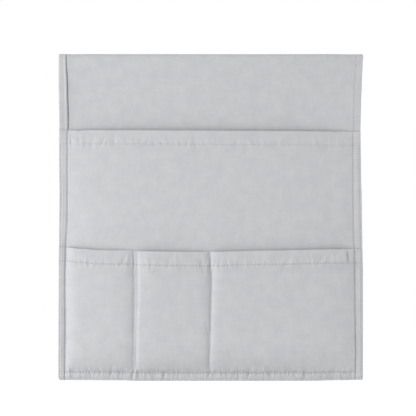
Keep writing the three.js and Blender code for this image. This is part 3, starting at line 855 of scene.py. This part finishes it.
def make_pocket(pattern, which, mouth, level, full, stops):
    """A pocket's cloth with its rolled mouth, and the turned layer behind the mouth. The rows of
    its grid follow the mouth's line near it and level out to the bottom edge."""
    thick, gap = pattern.size.canvas_thickness, pattern.size.layer_gap
    roll = thick + gap / 2
    # The places are closest beside the seams, the rows at both edges and the dividers
    lines = [pattern.left, pattern.right, 2.5 - pattern.half, pattern.half - 2.3]
    if which == "lower":
        lines += [pattern.first, pattern.second]
    u = columns(pattern.half, 1.15, 0.34, lines, 5)
    u[0], u[-1] = -pattern.half + POCKET_INSET, pattern.half - POCKET_INSET
    top = mouth(u) + roll
    marks = graded(stops, full)[:, None]
    v = top + marks
    v = v + (np.mean(top) + marks - v) * ease((marks - 30) / (full - 60))
    v[-1] = pattern.bottom - POCKET_INSET
    rows = pocket_rows(pattern, mouth, which == "lower")
    cloth(pattern, f"{which}_pocket_cloth", u, v, level, thick, "front_drop",
          (f"{which}_pocket",), rows, (), ("top",), roll)
    depth = pattern.size.mouth_row + HEM_PAST_ROW - roll
    cloth(pattern, f"{which}_mouth_turn", u, top + np.linspace(0, depth, 17)[:, None],
          lambda u, v: level(u, v) - thick - gap, thick, "front_drop",
          (f"{which}_mouth_hem",), rows[:3], ("top",))


class ORGANIZER_OT_pockets(bpy.types.Operator):
    """Make the wide pocket's cloth and that of the three small ones, with their turned mouths"""

    bl_idname = "organizer.pockets"
    bl_label = "Pockets"

    def execute(self, context):
        pattern = current_pattern()
        size = pattern.size
        # Grid rows from each mouth down, and how far they are apart from there
        rolled_mouth = 0.8
        drop = size.front_drop - POCKET_INSET - rolled_mouth
        full = drop - size.upper_mouth
        make_pocket(pattern, "upper", pattern.upper_mouth, pattern.upper_level, full, (
            (0, 1.3), (12, 0.6), (18, 1.6), (28, 3.2), (size.lower_mouth - size.upper_mouth, 7),
            (full - 12, 2),
        ))
        full = drop - size.lower_mouth
        make_pocket(pattern, "lower", pattern.lower_mouth, pattern.lower_level, full, (
            (0, 1.3), (12, 0.6), (18, 1.6), (30, 3), (full - 24, 1.3), (full - 11, 0.6),
        ))
        return {"FINISHED"}


def model_stitch(size):
    """One stitch, lying along X: a sphere drawn out, flattened and dipped at both ends."""
    # Millimetres that the needle's hole takes of a stitch, and that both ends dip into it
    hole, dip = 0.45, 0.22
    bpy.ops.object.select_all(action="DESELECT")
    bpy.ops.mesh.primitive_uv_sphere_add(segments=8, ring_count=6, radius=size.thread_width / 2000,
                                         rotation=(0, math.pi / 2, 0))
    obj = bpy.context.object
    bpy.ops.object.transform_apply(location=True, rotation=True, scale=True)
    bpy.ops.object.mode_set(mode="EDIT")
    bpy.ops.mesh.select_all(action="SELECT")
    stretch = (size.stitch_length - hole) / size.thread_width
    bpy.ops.transform.resize(value=(stretch, 1, 0.8))
    bpy.ops.object.mode_set(mode="OBJECT")
    mesh = obj.data
    verts = np.array([vert.co for vert in mesh.vertices], float)
    verts[:, 2] -= dip * 0.001 * (verts[:, 0] / verts[:, 0].max()) ** 2
    # Blender lists a sphere's faces in a new order at each run, so they are put in order here
    corners = [list(polygon.vertices) for polygon in mesh.polygons]
    firsts = [face.index(min(face)) for face in corners]
    faces = sorted(face[first:] + face[:first] for face, first in zip(corners, firsts))
    bpy.data.objects.remove(obj)
    bpy.data.meshes.remove(mesh)
    return verts, faces


def down(u, level):
    """A line along the strip at u, for stitches on the face that level gives."""
    return lambda v: (u + 0 * v, v, level(u + 0 * v, v) + STITCH_LIFT)


def across(line, level):
    """The same for a line across the strip."""
    return lambda u: (u, place_of(line, u), level(u, place_of(line, u)) + STITCH_LIFT)


def sew(pattern, shape, name, line, start, end, body, *nodes):
    """A row of stitches along a line of (u, v, out), each between two needle holes."""
    step = pattern.size.stitch_length
    first = math.ceil(start / step - 0.5) + 0.5
    at = (first + np.arange(int(end / step - first) + 1)) * step
    u, v, out = line(at)
    centre = pattern.lay(u, v, out)
    forward = pattern.lay(*line(at + 0.9)) - pattern.lay(*line(at - 0.9))
    forward /= np.linalg.norm(forward, axis=1)[:, None]
    normal = pattern.lay(u, v, out + 1) - centre
    normal -= (normal * forward).sum(1)[:, None] * forward
    normal /= np.linalg.norm(normal, axis=1)[:, None]
    verts, faces = shape
    placed = centre[:, None] + verts @ np.stack([forward, np.cross(normal, forward), normal], 1)
    mesh = bpy.data.meshes.new(name)
    mesh.from_pydata(placed.reshape(-1, 3).tolist(), [], [
        [corner + k * len(verts) for corner in face] for k in range(len(at)) for face in faces
    ])
    mesh.update()
    obj = add_smooth(name, mesh, bpy.ops.object.shade_smooth)
    finish_piece(obj, "thread", body, nodes)


class ORGANIZER_OT_stitches(bpy.types.Operator):
    """Sew the side seams, the mouths, the dividers, the closed sides and the ends"""

    bl_idname = "organizer.stitches"
    bl_label = "Stitches"

    def execute(self, context):
        pattern = current_pattern()
        left, right, edge = pattern.left, pattern.right, pattern.edge_row
        strip, upper, lower = pattern.strip_level, pattern.upper_level, pattern.lower_level
        bottom, front, tail = pattern.bottom, "front_drop", "tail"
        row = partial(sew, pattern, model_stitch(pattern.size))

        def row_across(name, line, level, start, end, body=front):
            row(f"{name}_row", across(line, level), start + ROW_INSET, end - ROW_INSET, body,
                f"{name}_thread")

        for side, u in (("left", left), ("right", right)):
            saddle = f"saddle_{side}_thread"
            row(f"{side}_seam_front", down(u, pattern.outermost), 0.2, bottom - 3, front,
                f"front_{side}_thread", saddle)
            row(f"{side}_seam_tail", down(u, strip), pattern.tail_end + 2, -0.2, tail,
                f"tail_{side}_thread", saddle)
        row_across("upper_mouth", pattern.row_below(pattern.upper_mouth), upper, -edge, edge)
        row_across("lower_mouth", pattern.row_below(pattern.lower_mouth), lower, -edge, edge)
        for order, u in (("first", pattern.first), ("second", pattern.second)):
            row(f"{order}_divider_row", down(u, lower), pattern.lower_mouth(u) + 0.8,
                pattern.seam_row - 1, front, f"{order}_divider_thread")
        for side, u in (("left", -edge), ("right", edge)):
            row(f"{side}_edge_row", down(u, pattern.outermost),
                pattern.row_below(pattern.upper_mouth)(u) + 1, bottom - 2.5, front,
                f"pocket_{side}_edge_thread")
        row_across("bottom_seam", pattern.seam_row, lower, left, right)
        row_across("bottom_edge", pattern.hem_row, lower, -edge, edge)
        row_across("tail_end", pattern.tail_row, strip, left, right, tail)
        return {"FINISHED"}


def seen_directly(tree):
    """1 where the camera, a reflection or glass looks, and 0 for the light on the cloth."""
    path = add_node(tree, "LightPath")
    seen = calculate(tree, "MAXIMUM", path["Is Camera Ray"], path["Is Glossy Ray"])
    return calculate(tree, "MAXIMUM", seen, path["Is Transmission Ray"])


def two_faced(tree, lit, seen):
    """One shader for the light on the cloth and another where the camera looks."""
    inputs = {0: seen_directly(tree), 1: lit, 2: seen}
    return add_node(tree, "MixShader", inputs)[0]


def make_floor(finish):
    """A round painted floor, about as far down as a sofa's arm is high."""
    bpy.ops.object.select_all(action="DESELECT")
    bpy.ops.mesh.primitive_circle_add(vertices=96, radius=6, fill_type="NGON",
                                      location=(0, 0, -0.62))
    floor = bpy.context.object
    floor.name = "studio_floor"
    bpy.ops.object.mode_set(mode="EDIT")
    bpy.ops.mesh.select_all(action="SELECT")
    bpy.ops.mesh.inset(thickness=0.4)
    bpy.ops.object.mode_set(mode="OBJECT")
    bpy.ops.object.transform_apply(location=True, rotation=True, scale=True)
    floor.select_set(False)
    material = bpy.data.materials.new("Matte floor paint")
    tree = new_tree(material)
    place = add_node(tree, "TexCoord")["Object"]
    paint = add_node(tree, "BsdfDiffuse", {
        "Color": (*finish.floor, 1), "Roughness": 0.5,
        "Normal": raised(tree, noise(tree, place, 60.0), 0.1, 0.0005),
    })[0]
    # Weaker near the object, so that its soft shadow still shows on the white
    reach = add_node(tree, "VectorMath", {0: place}, operation="LENGTH")
    glow = add_node(tree, "Emission", {
        "Color": (1, 1, 1, 1),
        "Strength": remap(tree, reach["Value"], 1.1, 2.4, 0.30, 0.475),
    })[0]
    both = add_node(tree, "AddShader", {0: paint, 1: glow})[0]
    add_node(tree, "OutputMaterial", {"Surface": two_faced(tree, paint, both)})
    floor.data.materials.append(material)


def make_world(scene):
    """White wherever the camera looks, and a soft fill for the cloth, brighter from above."""
    scene.world = bpy.data.worlds.new("Studio")
    tree = new_tree(scene.world)
    direction = add_node(tree, "TexCoord")["Generated"]
    height = add_node(tree, "SeparateXYZ", {0: direction})["Z"]
    fill, white = (
        add_node(tree, "Background", {"Color": (1, 1, 1, 1), "Strength": strength})
        for strength in (remap(tree, height, 0.0, 1.0, 0.36, 0.90), 1.0)
    )
    surface = two_faced(tree, fill[0], white[0])
    add_node(tree, "OutputWorld", {"Surface": surface})


def make_lights(scene):
    """Three soft boxes about as high as the arm: the main one to the viewer's left, one far
    round to the right, which lights the turned-away sides of the folds, and one behind."""
    aim = Vector((0, -0.09, -0.17))
    for name, energy, place in (
        ("Main soft box", 20.4, (-1.55, -1.10, -0.05)),
        ("Side soft box", 12.1, (1.95, -0.42, -0.12)),
        ("Back soft box", 16.0, (0.90, 2.10, 0.10)),
    ):
        light = bpy.data.lights.new(name, "AREA")
        light.shape = "RECTANGLE"
        light.size, light.size_y = 1.0, 1.0
        light.energy = energy
        holder = bpy.data.objects.new(name, light)
        holder.location = place
        holder.rotation_euler = (holder.location - aim).to_track_quat("Z", "Y").to_euler()
        holder.visible_camera = False
        scene.collection.objects.link(holder)


class ORGANIZER_OT_stage(bpy.types.Operator):
    """Set the floor, the lights, the background and the camera"""

    bl_idname = "organizer.stage"
    bl_label = "Stage"

    def execute(self, context):
        scene = context.scene
        scene.view_settings.view_transform = "Standard"
        make_floor(scene.organizer_finish)
        make_world(scene)
        make_lights(scene)
        camera = bpy.data.cameras.new("Camera")
        camera.lens = 200
        camera.sensor_width = 36
        camera.clip_end = 50
        holder = bpy.data.objects.new("Camera", camera)
        scene.collection.objects.link(holder)
        # The picture is 450 mm wide at the pockets' face
        away = 0.450 * camera.lens / camera.sensor_width
        holder.location = (-0.0033, -0.0965 - away, -0.1649)
        holder.rotation_euler = (math.pi / 2, 0, 0)
        scene.camera = holder
        return {"FINISHED"}


class ORGANIZER_PT_panel(bpy.types.Panel):
    """Lists the organizer's sizes, colours and steps"""

    bl_idname = "ORGANIZER_PT_panel"
    bl_label = "Armrest Organizer"
    bl_space_type = "VIEW_3D"
    bl_region_type = "UI"
    bl_category = "Organizer"

    def draw(self, context):
        for group in (context.scene.organizer_sizes, context.scene.organizer_finish):
            box = self.layout.box()
            for name in type(group).__annotations__:
                box.prop(group, name)
        for step in STEPS:
            self.layout.operator(step.bl_idname)


STEPS = (
    ORGANIZER_OT_stage,
    ORGANIZER_OT_strip,
    ORGANIZER_OT_hems,
    ORGANIZER_OT_pockets,
    ORGANIZER_OT_stitches,
)
CLASSES = (OrganizerSizes, OrganizerFinish, *STEPS, ORGANIZER_PT_panel)


def register():
    for kind in CLASSES:
        bpy.utils.register_class(kind)
    bpy.types.Scene.organizer_sizes = bpy.props.PointerProperty(type=OrganizerSizes)
    bpy.types.Scene.organizer_finish = bpy.props.PointerProperty(type=OrganizerFinish)


def unregister():
    del bpy.types.Scene.organizer_finish
    del bpy.types.Scene.organizer_sizes
    for kind in reversed(CLASSES):
        bpy.utils.unregister_class(kind)


def main():
    register()
    bpy.ops.organizer.stage()
    bpy.ops.organizer.strip()
    bpy.ops.organizer.hems()
    bpy.ops.organizer.pockets()
    bpy.ops.organizer.stitches()
    current_pattern()


if __name__ == "__main__":
    main()
